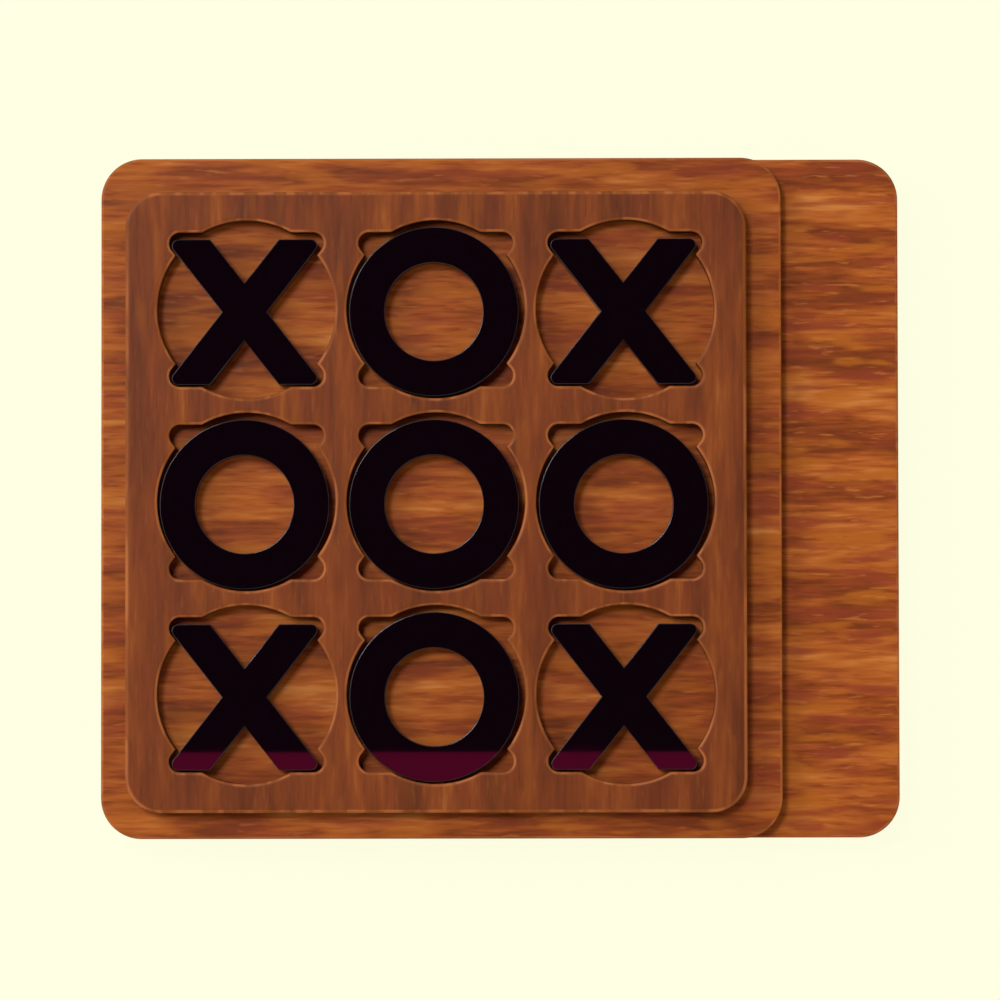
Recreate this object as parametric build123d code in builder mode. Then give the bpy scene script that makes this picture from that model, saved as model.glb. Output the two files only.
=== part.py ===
"""Boxed noughts-and-crosses game: a plywood board with loose acrylic pieces, and its lid.

Millimetres, +Z up. The game stands as it is set out for play: the lid lies plain face up,
and the board lies on it, slid to the left. The origin is on the table, at the middle of the
whole footprint: +X runs along the slide, from the board towards the lid, and +Y to the far side.
"""
import os

from build123d import *

# Acrylic pieces, cut from one sheet
piece_t = 5.0
piece_edge = 0.2             # bevel round the top face
o_outer_r = 18.6
o_stroke = 7.8
x_height = 32.0
x_stroke = 7.8
x_lean = 38.0                # degrees between an arm and the column direction
x_tip_r = 1.4                # sharp outer corners of the four arms
x_heel_r = 0.6               # blunt inner corners of the four arms

# Pockets, which hold the pieces loosely
pocket_clearance = 1.0       # round a piece that lies in the middle
rest_gap = 0.32              # left on the side to which the pieces lie
rest_direction = 234.0       # degrees from +X: towards the near left corner
column_bar = 2.4             # wood left between two pockets side by side
row_bar = 3.1                # wood left between two pockets one above the other

# Raised grid plate, glued on the base plate
grid_t = 5.0
grid_border_x = 7.0          # outside the pockets, left and right
grid_border_y = 6.3          # outside the pockets, near and far
grid_corner_r = 7.8
grid_edge = 0.5              # bevel round the top face and the pockets
grid_off_x = -1.1            # glued a little off the middle of the base,
grid_off_y = -1.0            # towards the near left corner

# Base plate and lid, cut to one outline
step_border = 6.8            # the step round the grid plate, on which the lid's rim stands
board_corner_r = 9.0
base_t = 5.0
lid_panel_t = 5.0
sanded_r = 0.5               # outer edges, rubbed round with sandpaper
lid_shift = 26.0             # how far the lid shows beside the board

# Lid rim, a ring glued under the lid panel that drops round the grid plate
lid_fit_clearance = 0.5      # between the rim and the grid plate, all round
lid_headroom = 0.5           # above the grid plate when the lid is closed

# Who holds which cell: column and row counted from the middle one
x_cells = [(-1, 1), (1, 1), (-1, -1), (1, -1)]
o_cells = [(0, 1), (-1, 0), (0, 0), (1, 0), (0, -1)]

# Plan sizes, from the pockets outwards
pocket_r = o_outer_r + pocket_clearance
column_pitch = 2 * pocket_r + column_bar
row_pitch = 2 * pocket_r + row_bar
grid_x = 2 * (column_pitch + pocket_r + grid_border_x)
grid_y = 2 * (row_pitch + pocket_r + grid_border_y)
board_x_size = grid_x + 2 * step_border
board_y_size = grid_y + 2 * step_border

# Levels above the table, in the order of the stack
lid_rim_t = grid_t + lid_headroom
lid_panel_z = lid_rim_t
base_z = lid_panel_z + lid_panel_t
grid_z = base_z + base_t

# Middles of the lid, the board and the grid plate
lid_x = lid_shift / 2
board_x = -lid_shift / 2
grid_x_middle = board_x + grid_off_x
grid_y_middle = grid_off_y

os.makedirs("parts", exist_ok=True)


def save(part, name):
    """Label a finished piece and write it to its own file."""
    part.label = name
    export_step(part, f"parts/{name}.step")


def settled(cell, z):
    """The plane of one piece: its cell's middle, moved to where the piece lies in the pocket."""
    column, row = cell
    x = grid_x_middle + column * column_pitch
    y = grid_y_middle + row * row_pitch
    settle = Vector(pocket_clearance - rest_gap, 0).rotate(Axis.Z, rest_direction)
    return Plane(origin=Vector(x, y, z) + settle)


# Outline of the cross: two leaning bars, cut off level at both ends
with BuildSketch() as x_outline:
    lean = Vector(0, 1).rotate(Axis.Z, -x_lean)
    end_x = lean.X / lean.Y * x_height / 2
    half_cut = x_stroke / 2 / lean.Y
    for side in (1, -1):
        with BuildLine():
            Polyline(
                (side * end_x - half_cut, x_height / 2),
                (side * end_x + half_cut, x_height / 2),
                (-side * end_x + half_cut, -x_height / 2),
                (-side * end_x - half_cut, -x_height / 2),
                close=True,
            )
        make_face()
    end_corners = x_outline.vertices().group_by(Axis.Y)
    end_corners = end_corners[0] + end_corners[-1]
    tips = end_corners.filter_by(lambda v: abs(v.X) > end_x)
    heels = end_corners.filter_by(lambda v: abs(v.X) < end_x)
    fillet(tips, x_tip_r)
    fillet(x_outline.vertices().filter_by(lambda v: any(v.distance_to(h) < 0.001 for h in heels)), x_heel_r)

# One pocket takes either piece: a disc for the ring, with four ears for the cross
with BuildSketch() as pocket_outline:
    Circle(pocket_r)
    add(offset(x_outline.sketch, amount=pocket_clearance, mode=Mode.PRIVATE))

# Base plate of the board, whose top shows round the grid plate and at the bottom of the pockets
with BuildPart() as board_base:
    with BuildSketch(Plane(origin=(board_x, 0, base_z))):
        RectangleRounded(board_x_size, board_y_size, board_corner_r)
    extrude(amount=base_t)
    fillet(board_base.faces().filter_by(Axis.Z).edges(), sanded_r)
save(board_base.part, "board_base")

# Grid plate with nine pockets cut right through it
with BuildPart() as grid_plate:
    with BuildSketch(Plane(origin=(grid_x_middle, grid_y_middle, grid_z))):
        RectangleRounded(grid_x, grid_y, grid_corner_r)
        with GridLocations(column_pitch, row_pitch, 3, 3):
            add(pocket_outline.sketch, mode=Mode.SUBTRACT)
    extrude(amount=grid_t)
    chamfer(grid_plate.faces().sort_by(Axis.Z)[-1].edges(), grid_edge)
save(grid_plate.part, "grid_plate")

# Crosses in the four corner cells
for number, cell in enumerate(x_cells, start=1):
    with BuildPart() as x_piece:
        with BuildSketch(settled(cell, grid_z)):
            add(x_outline.sketch)
        extrude(amount=piece_t)
        chamfer(x_piece.faces().sort_by(Axis.Z)[-1].edges(), piece_edge)
    save(x_piece.part, f"x_piece_{number}")

# Rings in the other five cells
for number, cell in enumerate(o_cells, start=1):
    with BuildPart() as o_piece:
        with BuildSketch(settled(cell, grid_z)):
            Circle(o_outer_r)
            Circle(o_outer_r - o_stroke, mode=Mode.SUBTRACT)
        extrude(amount=piece_t)
        chamfer(o_piece.faces().sort_by(Axis.Z)[-1].edges(), piece_edge)
    save(o_piece.part, f"o_piece_{number}")

# Lid panel, plain face up
with BuildPart() as lid_panel:
    with BuildSketch(Plane(origin=(lid_x, 0, lid_panel_z))):
        RectangleRounded(board_x_size, board_y_size, board_corner_r)
    extrude(amount=lid_panel_t)
    fillet(lid_panel.faces().sort_by(Axis.Z)[-1].edges(), sanded_r)
save(lid_panel.part, "lid_panel")

# Lid rim, open in the middle to drop round the grid plate
with BuildPart() as lid_rim:
    with BuildSketch(Plane(origin=(lid_x, 0, 0))):
        RectangleRounded(board_x_size, board_y_size, board_corner_r)
        RectangleRounded(
            grid_x + 2 * lid_fit_clearance,
            grid_y + 2 * lid_fit_clearance,
            grid_corner_r + lid_fit_clearance,
            mode=Mode.SUBTRACT,
        )
    extrude(amount=lid_rim_t)
    fillet(lid_rim.faces().sort_by(Axis.Z)[0].outer_wire().edges(), sanded_r)
save(lid_rim.part, "lid_rim")
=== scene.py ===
import math

import bpy
import numpy as np
from mathutils import Matrix, Vector
from mathutils.geometry import tessellate_polygon


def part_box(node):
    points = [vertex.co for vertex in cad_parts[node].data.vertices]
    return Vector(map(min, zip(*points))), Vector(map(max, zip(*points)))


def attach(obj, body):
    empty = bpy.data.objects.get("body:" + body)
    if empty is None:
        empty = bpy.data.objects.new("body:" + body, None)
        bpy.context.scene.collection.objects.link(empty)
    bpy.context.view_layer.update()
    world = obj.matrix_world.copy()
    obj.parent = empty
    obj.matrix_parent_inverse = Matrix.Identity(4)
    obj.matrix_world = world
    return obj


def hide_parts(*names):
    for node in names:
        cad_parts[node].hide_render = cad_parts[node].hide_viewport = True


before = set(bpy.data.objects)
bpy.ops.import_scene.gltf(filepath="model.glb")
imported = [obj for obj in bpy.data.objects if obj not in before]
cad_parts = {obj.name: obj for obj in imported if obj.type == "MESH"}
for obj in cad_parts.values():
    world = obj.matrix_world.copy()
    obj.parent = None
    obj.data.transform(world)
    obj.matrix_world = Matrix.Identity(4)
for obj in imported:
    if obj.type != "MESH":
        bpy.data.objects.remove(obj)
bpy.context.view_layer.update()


# Lid rim
# A plywood ring glued under the lid. It drops round the raised grid when the game is closed,
# and here it stands on the table and carries everything. Laser-cut, stained and rubbed round.

def middle_and_size(node):
    """Middle of a CAD piece in plan, its size in plan, and its lowest and highest level."""
    low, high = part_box(node)
    middle = np.array([(low.x + high.x) / 2, (low.y + high.y) / 2])
    size = np.array([high.x - low.x, high.y - low.y])
    return middle, size, low.z, high.z


def rounded_square(middle, size, corner_r, steps=24):
    """Outline of a rounded square, anticlockwise: each corner's middle plus corner_r times
    (cos a, sin a) for a quarter turn of angles, the four corners one after the other."""
    quarter = np.linspace(0, math.pi / 2, steps)
    turns = (quarter[None, :] + np.arange(4)[:, None] * math.pi / 2).ravel()
    corner_turn = np.repeat((np.arange(4) + 0.5) * math.pi / 2, steps)
    corner = np.stack([np.sign(np.cos(corner_turn)), np.sign(np.sin(corner_turn))], 1)
    corner = corner * (size / 2 - corner_r)
    return middle + corner + corner_r * np.stack([np.cos(turns), np.sin(turns)], 1)


def outward(outline):
    """Mitred outward normal at each point of an anticlockwise outline: the sum of the two
    neighbouring sides' unit normals, divided by one plus their dot product."""
    ahead = np.roll(outline, -1, 0) - outline
    normal = np.stack([ahead[:, 1], -ahead[:, 0]], 1)
    normal /= np.linalg.norm(normal, axis=1, keepdims=True)
    before = np.roll(normal, 1, 0)
    return (before + normal) / (1 + (before * normal).sum(1, keepdims=True))


def edge_profile(low, high, low_r, high_r, stretch=1.0, steps=6):
    """Section of a sheet's edge as (inset, level) pairs from the bottom face up to the top face:
    a quarter circle of low_r, the straight cut, and a quarter circle of high_r, drawn out over
    the top face by stretch."""
    turn = np.linspace(0, math.pi / 2, steps)
    inset = np.concatenate([low_r * (1 - np.sin(turn)), stretch * high_r * (1 - np.cos(turn))])
    level = np.concatenate([low + low_r * (1 - np.cos(turn)), high - high_r * (1 - np.sin(turn))])
    return inset, level


def carried(outline, profile):
    """An edge profile carried along an outline: ring k of points is the outline moved inwards
    by inset k along its mitred normals, at level k. Returns (rings, points, 3)."""
    inset, level = profile
    plan = outline[None] - inset[:, None, None] * outward(outline)[None]
    height = np.broadcast_to(level[:, None, None], plan.shape[:2] + (1,))
    return np.concatenate([plan, height], 2)


def ring_faces(rings, count, start=0):
    """Quads between each ring of a carried profile and the next, wound to face outwards."""
    ring, point = np.meshgrid(np.arange(rings - 1), np.arange(count), indexing="ij")
    here = start + ring * count + point
    beside = start + ring * count + (point + 1) % count
    return np.stack([here, beside, beside + count, here + count], -1).reshape(-1, 4).tolist()


def cap(loops, starts, level_up):
    """Triangles that fill the space between closed loops, the first of them the outer one."""
    place = np.concatenate([start + np.arange(len(loop)) for loop, start in zip(loops, starts)])
    points = np.concatenate(loops)
    filled = []
    for a, b, c in tessellate_polygon([[Vector(p) for p in loop] for loop in loops]):
        ab, ac = points[b] - points[a], points[c] - points[a]
        upward = ab[0] * ac[1] - ab[1] * ac[0] > 0
        filled.append([int(place[i]) for i in ((a, b, c) if upward == level_up else (a, c, b))])
    return filled


def sheet_piece(name, outlines, profiles, smooth_below=math.radians(35)):
    """A flat piece cut from sheet: the first outline is its outer edge, anticlockwise, and the
    rest are its openings, clockwise. Each edge profile is carried along its own outline, and
    both faces are filled between the loops."""
    strips = [carried(outline, profile) for outline, profile in zip(outlines, profiles)]
    starts = np.cumsum([0] + [strip.shape[0] * strip.shape[1] for strip in strips])[:-1]
    faces = []
    for strip, start in zip(strips, starts):
        faces += ring_faces(strip.shape[0], strip.shape[1], int(start))
    walls = len(faces)
    last = [start + (strip.shape[0] - 1) * strip.shape[1] for strip, start in zip(strips, starts)]
    faces += cap([strip[0] for strip in strips], starts, False)
    faces += cap([strip[-1] for strip in strips], last, True)
    mesh = bpy.data.meshes.new(name)
    mesh.from_pydata(np.concatenate([s.reshape(-1, 3) for s in strips]).tolist(), [], faces)
    mesh.set_sharp_from_angle(angle=smooth_below)
    mesh.polygons.foreach_set("use_smooth", np.arange(len(faces)) < walls)
    piece = bpy.data.objects.new(name, mesh)
    bpy.context.scene.collection.objects.link(piece)
    return piece


class Wire:
    """One output of a finish's nodes. Arithmetic on it adds Math nodes to the same finish."""

    def __init__(self, tree, socket):
        self.tree, self.socket = tree, socket

    def node(self, kind, settings=None, output=0, **inputs):
        """Any node: its type, its settings, and the values or wires of its inputs by name,
        with _1, _2 after a name for the second and third input that share it."""
        return add_node(self.tree, kind, settings, output, **inputs)

    def math(self, operation, *values):
        inputs = {f"Value_{index}": value for index, value in enumerate(values)}
        return self.node("ShaderNodeMath", {"operation": operation}, **inputs)

    def __add__(self, other):
        return self.math("ADD", self, other)

    def __radd__(self, other):
        return self.math("ADD", other, self)

    def __sub__(self, other):
        return self.math("SUBTRACT", self, other)

    def __rsub__(self, other):
        return self.math("SUBTRACT", other, self)

    def __mul__(self, other):
        return self.math("MULTIPLY", self, other)

    def __rmul__(self, other):
        return self.math("MULTIPLY", other, self)

    def __abs__(self):
        return self.math("ABSOLUTE", self)

    def rise(self, low, high):
        """0 below low, 1 above high, and a smooth step between; high may be the lower one."""
        settings = {"interpolation_type": "SMOOTHSTEP"}
        limits = {"From Min": low, "From Max": high}
        return self.node("ShaderNodeMapRange", settings, Value=self, **limits)


def add_node(tree, kind, settings=None, output=0, **inputs):
    """A new node in a finish, its settings made first and its inputs then set or wired, given
    back as the wire of one of its outputs."""
    made = tree.nodes.new(kind)
    for key, value in (settings or {}).items():
        if key == "stops":
            ramp = made.color_ramp
            while len(ramp.elements) < len(value):
                ramp.elements.new(0.5)
            for element, (position, colour) in zip(ramp.elements, value):
                element.position = position
                element.color = (*colour, 1.0)
        else:
            setattr(made, key, value)
    for key, value in inputs.items():
        name, _, index = key.partition("_")
        matching = [s for s in made.inputs if s.name == name and s.enabled]
        socket = matching[int(index or 0)]
        if isinstance(value, Wire):
            tree.links.new(value.socket, socket)
        else:
            socket.default_value = value
    return Wire(tree, made.outputs[output])


def blend(kind, amount, under, over):
    """Two colours mixed by kind, such as MIX or MULTIPLY, by a wired or plain amount."""
    tree = next(v.tree for v in (amount, under, over) if isinstance(v, Wire))
    made = add_node(tree, "ShaderNodeMix", {"data_type": "RGBA", "blend_type": kind}, output=2)
    mix = made.socket.node
    for socket, value in ((mix.inputs[0], amount), (mix.inputs[6], under), (mix.inputs[7], over)):
        if isinstance(value, Wire):
            tree.links.new(value.socket, socket)
        else:
            socket.default_value = value if socket == mix.inputs[0] else (*value, 1.0)
    return made


def new_finish(name):
    """An empty material with its Principled shader, wired to the output."""
    material = bpy.data.materials.new(name)
    material.use_nodes = True
    tree = material.node_tree
    shader = tree.nodes["Principled BSDF"]
    return material, tree, shader


def drawn_out(mm, along, across, roughness, distortion, seed=0.0):
    """Noise whose features are about along mm by across mm, read at a place in millimetres."""
    place = mm.node("ShaderNodeMapping", Vector=mm, Location=(seed, seed * 1.7, seed * 0.3),
                    Scale=(1 / along, 1 / across, 1 / across))
    return mm.node("ShaderNodeTexNoise", Vector=place, Scale=1.0, Detail=2.0,
                   Roughness=roughness, Distortion=distortion)


def stained_face(grain, pores, tones, share, light):
    """Colour of a face: the tones over bands, streaks and fine grain, each by its share, with
    redder and more orange patches, pale flecks and dark pores over them."""
    red_patch, orange_patch = (0.250, 0.040, 0.014), (0.420, 0.115, 0.010)
    pale_fleck, pore_shade = (0.500, 0.160, 0.030), (0.50, 0.38, 0.30)
    patch, patch_share = grain["patch"], share["patch"]
    tone = 0.5 + sum((grain[kind] - 0.5) * share[kind] for kind in ("band", "streak", "fine"))
    face = tone.node("ShaderNodeValToRGB", {"stops": tones}, Fac=tone)
    face = blend("MIX", patch.rise(0.50, 0.66) * patch_share, face, red_patch)
    face = blend("MIX", patch.rise(0.46, 0.32) * patch_share, face, orange_patch)
    face = blend("MIX", grain["fleck"].rise(0.60, 0.74) * (patch_share * 0.8), face, pale_fleck)
    face = blend("MULTIPLY", pores * 0.25, face, pore_shade)
    return blend("MULTIPLY", 1.0, face, (light, light, light))


def cut_plies(here, low, high, grain):
    """Colour of a cut edge between two levels: five plies, every other one end grain, and dark
    glue lines between them."""
    plies = 5.0
    long_grain, end_grain = (0.085, 0.024, 0.009), (0.160, 0.048, 0.014)
    glue_shade, scorch_shade = (0.30, 0.26, 0.24), (0.60, 0.55, 0.50)
    level = here.node("ShaderNodeSeparateXYZ", Vector=here, output=2)
    ply = (level - low) * (plies / (high - low)) + (grain["streak"] - 0.5) * 0.25
    wave = here.node("ShaderNodeMath", {"operation": "PINGPONG"}, Value=ply, Value_1=1.0)
    from_glue = abs(wave - 0.5)
    cut = blend("MIX", wave.rise(0.42, 0.58), long_grain, end_grain)
    cut = blend("MULTIPLY", from_glue.rise(0.10, 0.02) * 0.75, cut, glue_shade)
    return blend("MULTIPLY", grain["fine"].rise(0.55, 0.35) * 0.6, cut, scorch_shade)


def stained_ply(name, low, high, tones, share, light, offset, grain_turn=0.0):
    """Stained and thinly oiled plywood between two levels. The grain is noise drawn out along
    one direction. Cut edges show the plies, and the arris is painted paler than the faces:
    partly stain rubbed through, partly a painted highlight where the edge catches the light."""
    material, tree, shader = new_finish(name)
    here = add_node(tree, "ShaderNodeTexCoord", output=3)
    mm = here.node("ShaderNodeMapping", Vector=here, Scale=(1000, 1000, 1000),
                   Location=offset, Rotation=(0, 0, grain_turn))
    grain = {
        "band": drawn_out(mm, 38.0, 6.0, 0.50, 0.12),
        "patch": drawn_out(mm, 16.0, 3.4, 0.45, 0.15, seed=7),
        "streak": drawn_out(mm, 10.0, 1.1, 0.50, 0.10, seed=3),
        "fine": drawn_out(mm, 4.0, 0.45, 0.50, 0.05, seed=11),
        "fleck": drawn_out(mm, 6.0, 1.0, 0.45, 0.10, seed=19),
    }
    pores = grain["fine"].rise(0.40, 0.28) * grain["streak"].rise(0.60, 0.45)

    # Upright surfaces are cut, level ones are faces, and the arris lies between the two
    normal = here.node("ShaderNodeNewGeometry", output=1)
    up = abs(here.node("ShaderNodeSeparateXYZ", Vector=normal, output=2))
    cut_share = up.rise(0.55, 0.25)
    arris_share = up.rise(0.30, 0.55) * up.rise(0.9995, 0.97)
    # Painted highlight: the arris gets a paler, patchy orange, partly rubbed-through stain and
    # partly the light that the edge catches
    wear_and_highlight = 0.22 + grain["patch"].rise(0.44, 0.62) * 0.44
    rubbed_and_highlight_tone = (0.440, 0.140, 0.040)
    colour = blend("MIX", cut_share, stained_face(grain, pores, tones, share, light),
                   cut_plies(here, low, high, grain))
    colour = blend("MIX", arris_share * wear_and_highlight, colour, rubbed_and_highlight_tone)
    tree.links.new(colour.socket, shader.inputs["Base Color"])

    gloss = 0.46 + (grain["band"] - 0.5) * 0.20 + (grain["fine"] - 0.5) * 0.15 + cut_share * 0.25
    tree.links.new(gloss.socket, shader.inputs["Roughness"])
    shader.inputs["Specular IOR Level"].default_value = 0.08
    relief = grain["streak"] * 0.35 + grain["fine"] * 0.5 - pores * 0.6
    bump = here.node("ShaderNodeBump", Height=relief, Strength=0.25, Distance=0.00008)
    tree.links.new(bump.socket, shader.inputs["Normal"])
    return material


board_corner_r = 0.0090
sanded_r = 0.0005            # outer edges, rubbed round with sandpaper
sanded_stretch = 1.3         # how much wider than deep the rubbed edge of a top face is
fit_clearance = 0.0005       # between the rim's opening and the grid plate
grid_corner_r = 0.0078

# The stain's colours along the tone of the grain, from its darkest to its palest
base_tones = [(0.22, (0.170, 0.034, 0.006)), (0.40, (0.265, 0.055, 0.008)),
              (0.52, (0.360, 0.083, 0.012)), (0.66, (0.440, 0.120, 0.018)),
              (0.84, (0.540, 0.190, 0.040))]

rim_middle, rim_size, rim_low, rim_high = middle_and_size("lid_rim")
rim_inner_edge_r = 0.0002
opening_size = middle_and_size("grid_plate")[1] + 2 * fit_clearance
opening = rounded_square(rim_middle, opening_size, grid_corner_r + fit_clearance)
lid_rim = sheet_piece(
    "lid_rim_ring",
    [rounded_square(rim_middle, rim_size, board_corner_r), opening[::-1]],
    [edge_profile(rim_low, rim_high, sanded_r, 0.0),
     edge_profile(rim_low, rim_high, rim_inner_edge_r, 0.0)],
)
lid_rim.data.materials.append(stained_ply(
    "lid_rim_ply", rim_low, rim_high, base_tones,
    {"band": 0.9, "streak": 0.5, "fine": 0.15, "patch": 0.4}, light=0.90, offset=(31, 12, 4)))
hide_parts("lid_rim")
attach(lid_rim, "lid")


# Lid panel
# The lid's plain plywood top, as large as the board. It lies face up under the board, and its
# right-hand strip shows. Its grain runs across the picture, with orange and purplish bands.

panel_middle, panel_size, panel_low, panel_high = middle_and_size("lid_panel")
lid_panel = sheet_piece(
    "lid_panel_sheet",
    [rounded_square(panel_middle, panel_size, board_corner_r)],
    [edge_profile(panel_low, panel_high, 0.0, sanded_r, sanded_stretch)],
)
lid_panel.data.materials.append(stained_ply(
    "lid_panel_ply", panel_low, panel_high, base_tones,
    {"band": 1.2, "streak": 0.7, "fine": 0.20, "patch": 0.7}, light=1.00, offset=(57, 99, 3)))
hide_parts("lid_panel")
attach(lid_panel, "lid")


# Board base
# The plywood plate under the grid. Its border shows as a step all round, and its face is the
# floor of the nine pockets. Grain across the picture, stained like the lid.

base_middle, base_size, base_low, base_high = middle_and_size("board_base")
board_base = sheet_piece(
    "board_base_sheet",
    [rounded_square(base_middle, base_size, board_corner_r)],
    [edge_profile(base_low, base_high, sanded_r, sanded_r, sanded_stretch)],
)
board_base.data.materials.append(stained_ply(
    "board_base_ply", base_low, base_high, base_tones,
    {"band": 1.2, "streak": 0.7, "fine": 0.20, "patch": 0.5}, light=0.89, offset=(13, 52, 9)))
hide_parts("board_base")
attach(board_base, "board")


# Grid plate
# The darker plywood plate glued on the base, its grain running up the picture, with nine laser-cut
# pockets. Each pocket is a disc with four ears, so that it holds a ring or a cross.

pocket_clearance = 0.0010
column_pitch = 0.0416
row_pitch = 0.0423
o_outer_r = 0.0186
x_height = 0.0320
x_stroke = 0.0078
x_lean = math.radians(38)
x_tip_r = 0.0014
x_heel_r = 0.0006


def arc(middle, r, start, end, steps):
    """Points middle + r (cos a, sin a) for a from start to end."""
    turn = np.linspace(start, end, steps)
    return np.array(middle) + r * np.stack([np.cos(turn), np.sin(turn)], 1)


def four_ways(quarter):
    """A first-quadrant stretch, from the x axis to the y axis, mirrored into a whole outline."""
    left = quarter[::-1] * (-1, 1)
    top = np.concatenate([quarter, left])
    whole = np.concatenate([top, top[::-1] * (1, -1)])
    keep = np.linalg.norm(whole - np.roll(whole, 1, 0), axis=1) > 1e-7
    return whole[keep]


def tip_and_heel(grow):
    """Middles of the two arcs at an arm's end. The tip's arc touches the level cut and the arm's
    outer side, the heel's arc the cut and its inner side; grow widens both arcs, not the middles."""
    reach = x_height / 2
    centre_x = reach * math.tan(x_lean)
    half_cut = x_stroke / 2 / math.cos(x_lean)
    sharp = (math.pi / 2 - x_lean) / 2
    tip = (centre_x + half_cut - x_tip_r / math.tan(sharp), reach - x_tip_r)
    heel = (centre_x - half_cut + x_heel_r * math.tan(sharp), reach - x_heel_r)
    return tip, heel, x_tip_r + grow, x_heel_r + grow


def pocket_outline():
    """A disc joined to the cross's outline grown by the clearance: the disc's arc, the arm's
    outer side, the ear's arc, its level edge, and the disc's arc again, mirrored four ways."""
    disc_r = o_outer_r + pocket_clearance
    tip, _, ear_r, _ = tip_and_heel(pocket_clearance)
    side = np.array([math.cos(x_lean), -math.sin(x_lean)])
    down = np.array([-math.sin(x_lean), -math.cos(x_lean)])
    leaves_ear = np.array(tip) + ear_r * side
    half = leaves_ear @ down
    run = -half - math.sqrt(half**2 - leaves_ear @ leaves_ear + disc_r**2)
    meets_disc = leaves_ear + run * down
    low_turn = math.atan2(meets_disc[1], meets_disc[0])
    high_turn = math.asin((tip[1] + ear_r) / disc_r)
    quarter = np.concatenate([
        arc((0, 0), disc_r, 0, low_turn, 20),
        arc(tip, ear_r, -x_lean, math.pi / 2, 18),
        arc((0, 0), disc_r, high_turn, math.pi / 2, 16),
    ])
    return four_ways(quarter)


grid_middle, grid_size, grid_low, grid_high = middle_and_size("grid_plate")
columns, rows = np.meshgrid([-1, 0, 1], [-1, 0, 1])
cells = np.stack([columns.ravel() * column_pitch, rows.ravel() * row_pitch], 1) + grid_middle
pocket = pocket_outline()[::-1]
grid_arris_r = 0.00045
pocket_arris_r = 0.00035
arris_stretch = 2.4
grid_tones = [(0.25, (0.125, 0.028, 0.007)), (0.42, (0.170, 0.038, 0.009)),
              (0.55, (0.205, 0.046, 0.010)), (0.70, (0.260, 0.062, 0.012)),
              (0.86, (0.350, 0.100, 0.018))]
grid_plate = sheet_piece(
    "grid_plate_sheet",
    [rounded_square(grid_middle, grid_size, grid_corner_r)] + [pocket + cell for cell in cells],
    [edge_profile(grid_low, grid_high, 0.0, grid_arris_r, arris_stretch)]
    + [edge_profile(grid_low, grid_high, 0.0, pocket_arris_r, arris_stretch)] * len(cells),
)
grid_plate.data.materials.append(stained_ply(
    "grid_plate_ply", grid_low, grid_high, grid_tones,
    {"band": 1.2, "streak": 0.45, "fine": 0.08, "patch": 0.15}, light=0.82, offset=(5, 23, 17),
    grain_turn=math.pi / 2))
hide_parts("grid_plate")
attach(grid_plate, "board")


# Crosses
# Four crosses laser-cut from black acrylic sheet, in the corner pockets. The faces keep the
# sheet's own gloss, the cut sides are a little duller, and the scraped arris is matt.

def black_acrylic(name):
    """Glossy black cast sheet with a faint plum tint, a few soft handling marks in its gloss,
    fine upright lines from the laser on its cut sides, and a matt arris."""
    material, tree, shader = new_finish(name)
    top_black, side_black = (0.0030, 0.0004, 0.0022), (0.0070, 0.0040, 0.0065)
    here = add_node(tree, "ShaderNodeTexCoord", output=3)
    normal = here.node("ShaderNodeNewGeometry", output=1)
    up = abs(here.node("ShaderNodeSeparateXYZ", Vector=normal, output=2))
    side_share = up.rise(0.6, 0.2)
    arris_share = up.rise(0.10, 0.35) * up.rise(0.995, 0.95)
    marks = here.node("ShaderNodeTexNoise", Vector=here, Scale=90.0, Detail=4.0, Roughness=0.6)
    lines_at = here.node("ShaderNodeMapping", Vector=here, Scale=(3500, 3500, 60))
    lines = here.node("ShaderNodeTexNoise", Vector=lines_at, Scale=1.0, Detail=1.0)
    colour = blend("MIX", side_share, top_black, side_black)
    tree.links.new(colour.socket, shader.inputs["Base Color"])
    gloss = 0.015 + marks.rise(0.5, 0.8) * 0.02
    gloss = gloss + side_share * (0.12 + lines * 0.15) + arris_share * 0.45
    tree.links.new(gloss.socket, shader.inputs["Roughness"])
    bump = here.node("ShaderNodeBump", Height=lines * side_share, Strength=0.2, Distance=0.00005)
    tree.links.new(bump.socket, shader.inputs["Normal"])
    shader.inputs["IOR"].default_value = 1.49
    return material


def cross_outline():
    """The cross: from the side notch up the arm's outer side, round the tip, along the level
    cut, round the heel and down the inner side to the top notch, mirrored four ways."""
    tip, heel, tip_r, heel_r = tip_and_heel(0.0)
    side_notch = np.array([[x_stroke / 2 / math.cos(x_lean), 0.0]])
    top_notch = np.array([[0.0, x_stroke / 2 / math.sin(x_lean)]])
    return four_ways(np.concatenate([
        side_notch,
        arc(tip, tip_r, -x_lean, math.pi / 2, 14),
        arc(heel, heel_r, math.pi / 2, math.pi - x_lean, 6),
        top_notch,
    ]))


acrylic = black_acrylic("black_acrylic_sheet")
acrylic_arris_r = 0.00015
for number in range(1, 5):
    node = f"x_piece_{number}"
    middle, _, low, high = middle_and_size(node)
    cross = sheet_piece(
        f"cross_{number}",
        [cross_outline() + middle],
        [edge_profile(low, high, acrylic_arris_r, acrylic_arris_r, steps=4)],
    )
    cross.data.materials.append(acrylic)
    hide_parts(node)
    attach(cross, f"x_{number}")


# Rings
# Five rings from the same black sheet, in the other pockets, each as wide in its stroke as
# the arms of the crosses.

o_stroke = 0.0078
for number in range(1, 6):
    node = f"o_piece_{number}"
    middle, _, low, high = middle_and_size(node)
    outer = arc(middle, o_outer_r, 0, math.tau, 129)[:-1]
    inner = arc(middle, o_outer_r - o_stroke, math.tau, 0, 97)[:-1]
    ring = sheet_piece(
        f"ring_{number}",
        [outer, inner],
        [edge_profile(low, high, acrylic_arris_r, acrylic_arris_r, steps=4)] * 2,
    )
    ring.data.materials.append(acrylic)
    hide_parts(node)
    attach(ring, f"o_{number}")


# Table and backdrop
# A pale cream studio sweep: a flat round floor that curves up into a wall far behind.

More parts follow.
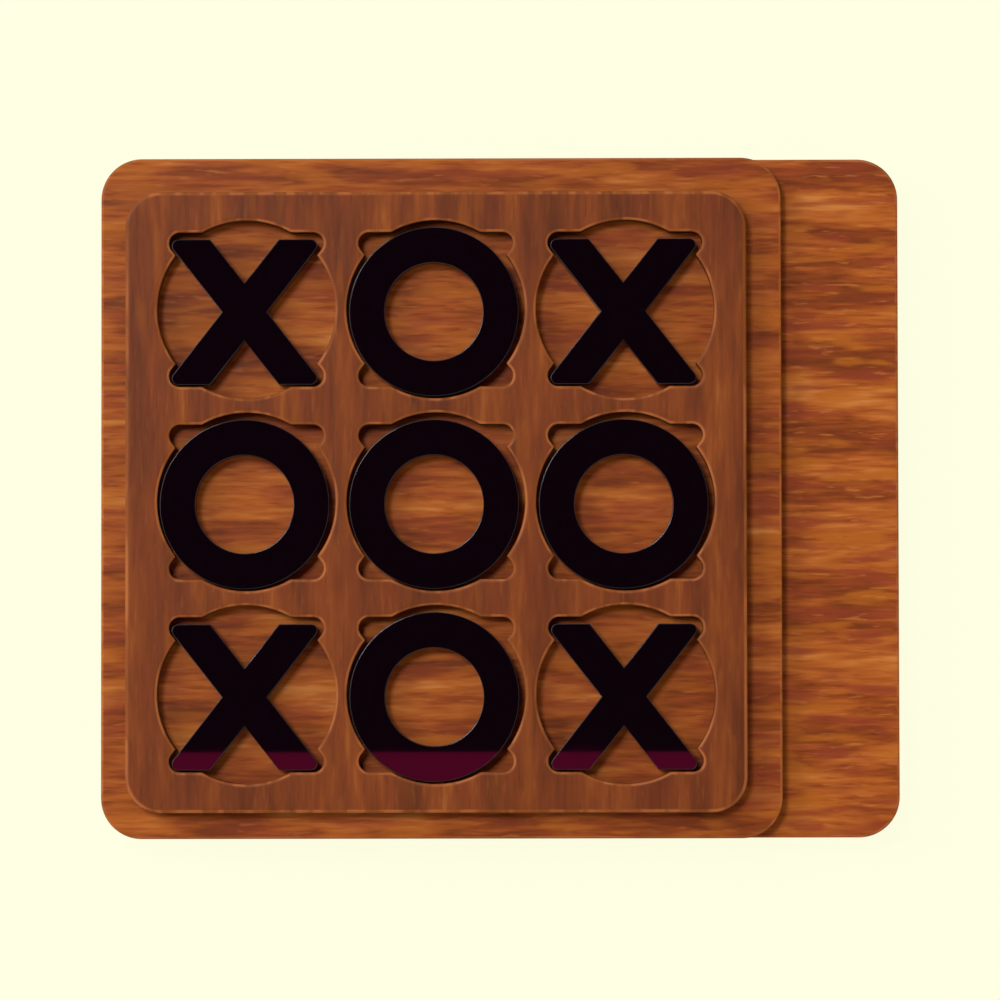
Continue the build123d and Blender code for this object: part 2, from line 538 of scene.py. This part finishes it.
def sweep_surface(floor_z, flat_r, wall_r, wall_h, around=96):
    """A bowl: radius and height as functions of one parameter, flat at floor_z out to flat_r,
    then a quarter circle up to the wall, turned about the z axis by the other parameter."""
    bend = wall_r - flat_r
    turn = np.linspace(0, math.pi / 2, 12)
    r = np.concatenate([[0.0, flat_r * 0.2, flat_r * 0.6], flat_r + bend * np.sin(turn), [wall_r]])
    z = floor_z + np.concatenate([[0.0, 0.0, 0.0], bend * (1 - np.cos(turn)), [wall_h]])
    t = np.linspace(0, math.tau, around, endpoint=False)
    return np.stack([
        r[:, None] * np.cos(t)[None],
        r[:, None] * np.sin(t)[None],
        np.broadcast_to(z[:, None], (len(r), around)),
    ], 2)


floor_z = -0.00005           # just clear of the rim's lower face
bowl = sweep_surface(floor_z, flat_r=6.0, wall_r=8.0, wall_h=5.0)
table_mesh = bpy.data.meshes.new("table")
bowl_faces = [face[::-1] for face in ring_faces(bowl.shape[0], bowl.shape[1])]
table_mesh.from_pydata(bowl.reshape(-1, 3).tolist(), [], bowl_faces)
table_mesh.polygons.foreach_set("use_smooth", [True] * len(bowl_faces))
table = bpy.data.objects.new("table", table_mesh)
bpy.context.scene.collection.objects.link(table)
cream, cream_tree, cream_shader = new_finish("cream_paper")
cream_shader.inputs["Base Color"].default_value = (0.95, 0.95, 0.74, 1)
cream_shader.inputs["Roughness"].default_value = 0.9
cream_shader.inputs["Specular IOR Level"].default_value = 0.1
glow = add_node(cream_tree, "ShaderNodeEmission", Color=(1.0, 1.0, 0.77, 1.0), Strength=1.0)
path = cream_tree.nodes.new("ShaderNodeLightPath")
seen = [Wire(cream_tree, path.outputs[name])
        for name in ("Is Camera Ray", "Is Glossy Ray", "Is Transmission Ray")]
glow_share = 0.96            # the rest is lit, and takes the game's shadow
seen_share = (seen[0] + seen[1] + seen[2]) * glow_share
cream_mix = cream_tree.nodes.new("ShaderNodeMixShader")
cream_tree.links.new(seen_share.socket, cream_mix.inputs[0])
cream_tree.links.new(cream_shader.outputs[0], cream_mix.inputs[1])
cream_tree.links.new(glow.socket, cream_mix.inputs[2])
cream_tree.links.new(cream_mix.outputs[0], cream_tree.nodes["Material Output"].inputs["Surface"])
table.data.materials.append(cream)


# Studio light
# A key box up and to the left, a larger one low on the left, a weak one at the near right, and
# a dim room that is darker overhead, so that the black pieces stay black.

def soft_box(name, place, side, watts, colour=(1, 1, 1)):
    """A square area lamp at a place, turned to face the middle of the table."""
    lamp = bpy.data.lights.new(name, "AREA")
    lamp.shape, lamp.size, lamp.energy, lamp.color = "SQUARE", side, watts, colour
    box = bpy.data.objects.new(name, lamp)
    bpy.context.scene.collection.objects.link(box)
    box.location = place
    box.rotation_euler = (-Vector(place)).to_track_quat("-Z", "Y").to_euler()
    return box


soft_box("key_box", (-0.52, 0.50, 2.00), side=0.50, watts=23)
soft_box("left_box", (-1.50, 0.55, 1.10), side=1.20, watts=21)
soft_box("fill_box", (1.20, -1.30, 1.60), side=1.20, watts=10)

# The plum card just under the camera, whose mirror image tints the near ends of the near row
card_width, card_depth = 0.300, 0.126
card = soft_box("plum_card", (0.0, -0.130, 1.00), card_width, watts=0.165, colour=(1.0, 0.02, 0.18))
card.data.shape, card.data.size_y = "RECTANGLE", card_depth
card.rotation_euler = (0, 0, 0)

world = bpy.data.worlds.new("room")
bpy.context.scene.world = world
world.use_nodes = True
room = world.node_tree
direction = add_node(room, "ShaderNodeTexCoord", output=0)
height = direction.node("ShaderNodeSeparateXYZ", Vector=direction, output=2)
strength = height.rise(0.95, 0.55) * 0.45 + 0.012
room.links.new(strength.socket, room.nodes["Background"].inputs["Strength"])
room.nodes["Background"].inputs["Color"].default_value = (1.0, 0.98, 0.96, 1)


# Camera
# Straight above the board, so that no outer wall shows, and leaning a very little to the near
# side, so that the far side is a very little smaller.

aim = Vector((-0.00007, -0.00052, 0.0155))
lean_x = math.tan(math.radians(0.5))
lean_y = math.tan(math.radians(-2.0))
roll = math.radians(0.10)
distance = 1.2
lens_ratio = 4.540           # lens over sensor, for one metre of distance

camera_data = bpy.data.cameras.new("camera")
camera = bpy.data.objects.new("camera", camera_data)
bpy.context.scene.collection.objects.link(camera)
back = Vector((lean_x, lean_y, 1.0)).normalized()
right = Vector((math.sin(roll), math.cos(roll), 0.0)).cross(back).normalized()
above = back.cross(right)
turned = Matrix((right, above, back)).transposed().to_4x4()
camera.matrix_world = Matrix.Translation(aim + back * distance) @ turned
camera_data.sensor_width = 36.0
camera_data.lens = camera_data.sensor_width * lens_ratio * distance
camera_data.clip_start, camera_data.clip_end = 0.1, 50.0
bpy.context.scene.camera = camera
bpy.context.scene.view_settings.view_transform = "Standard"
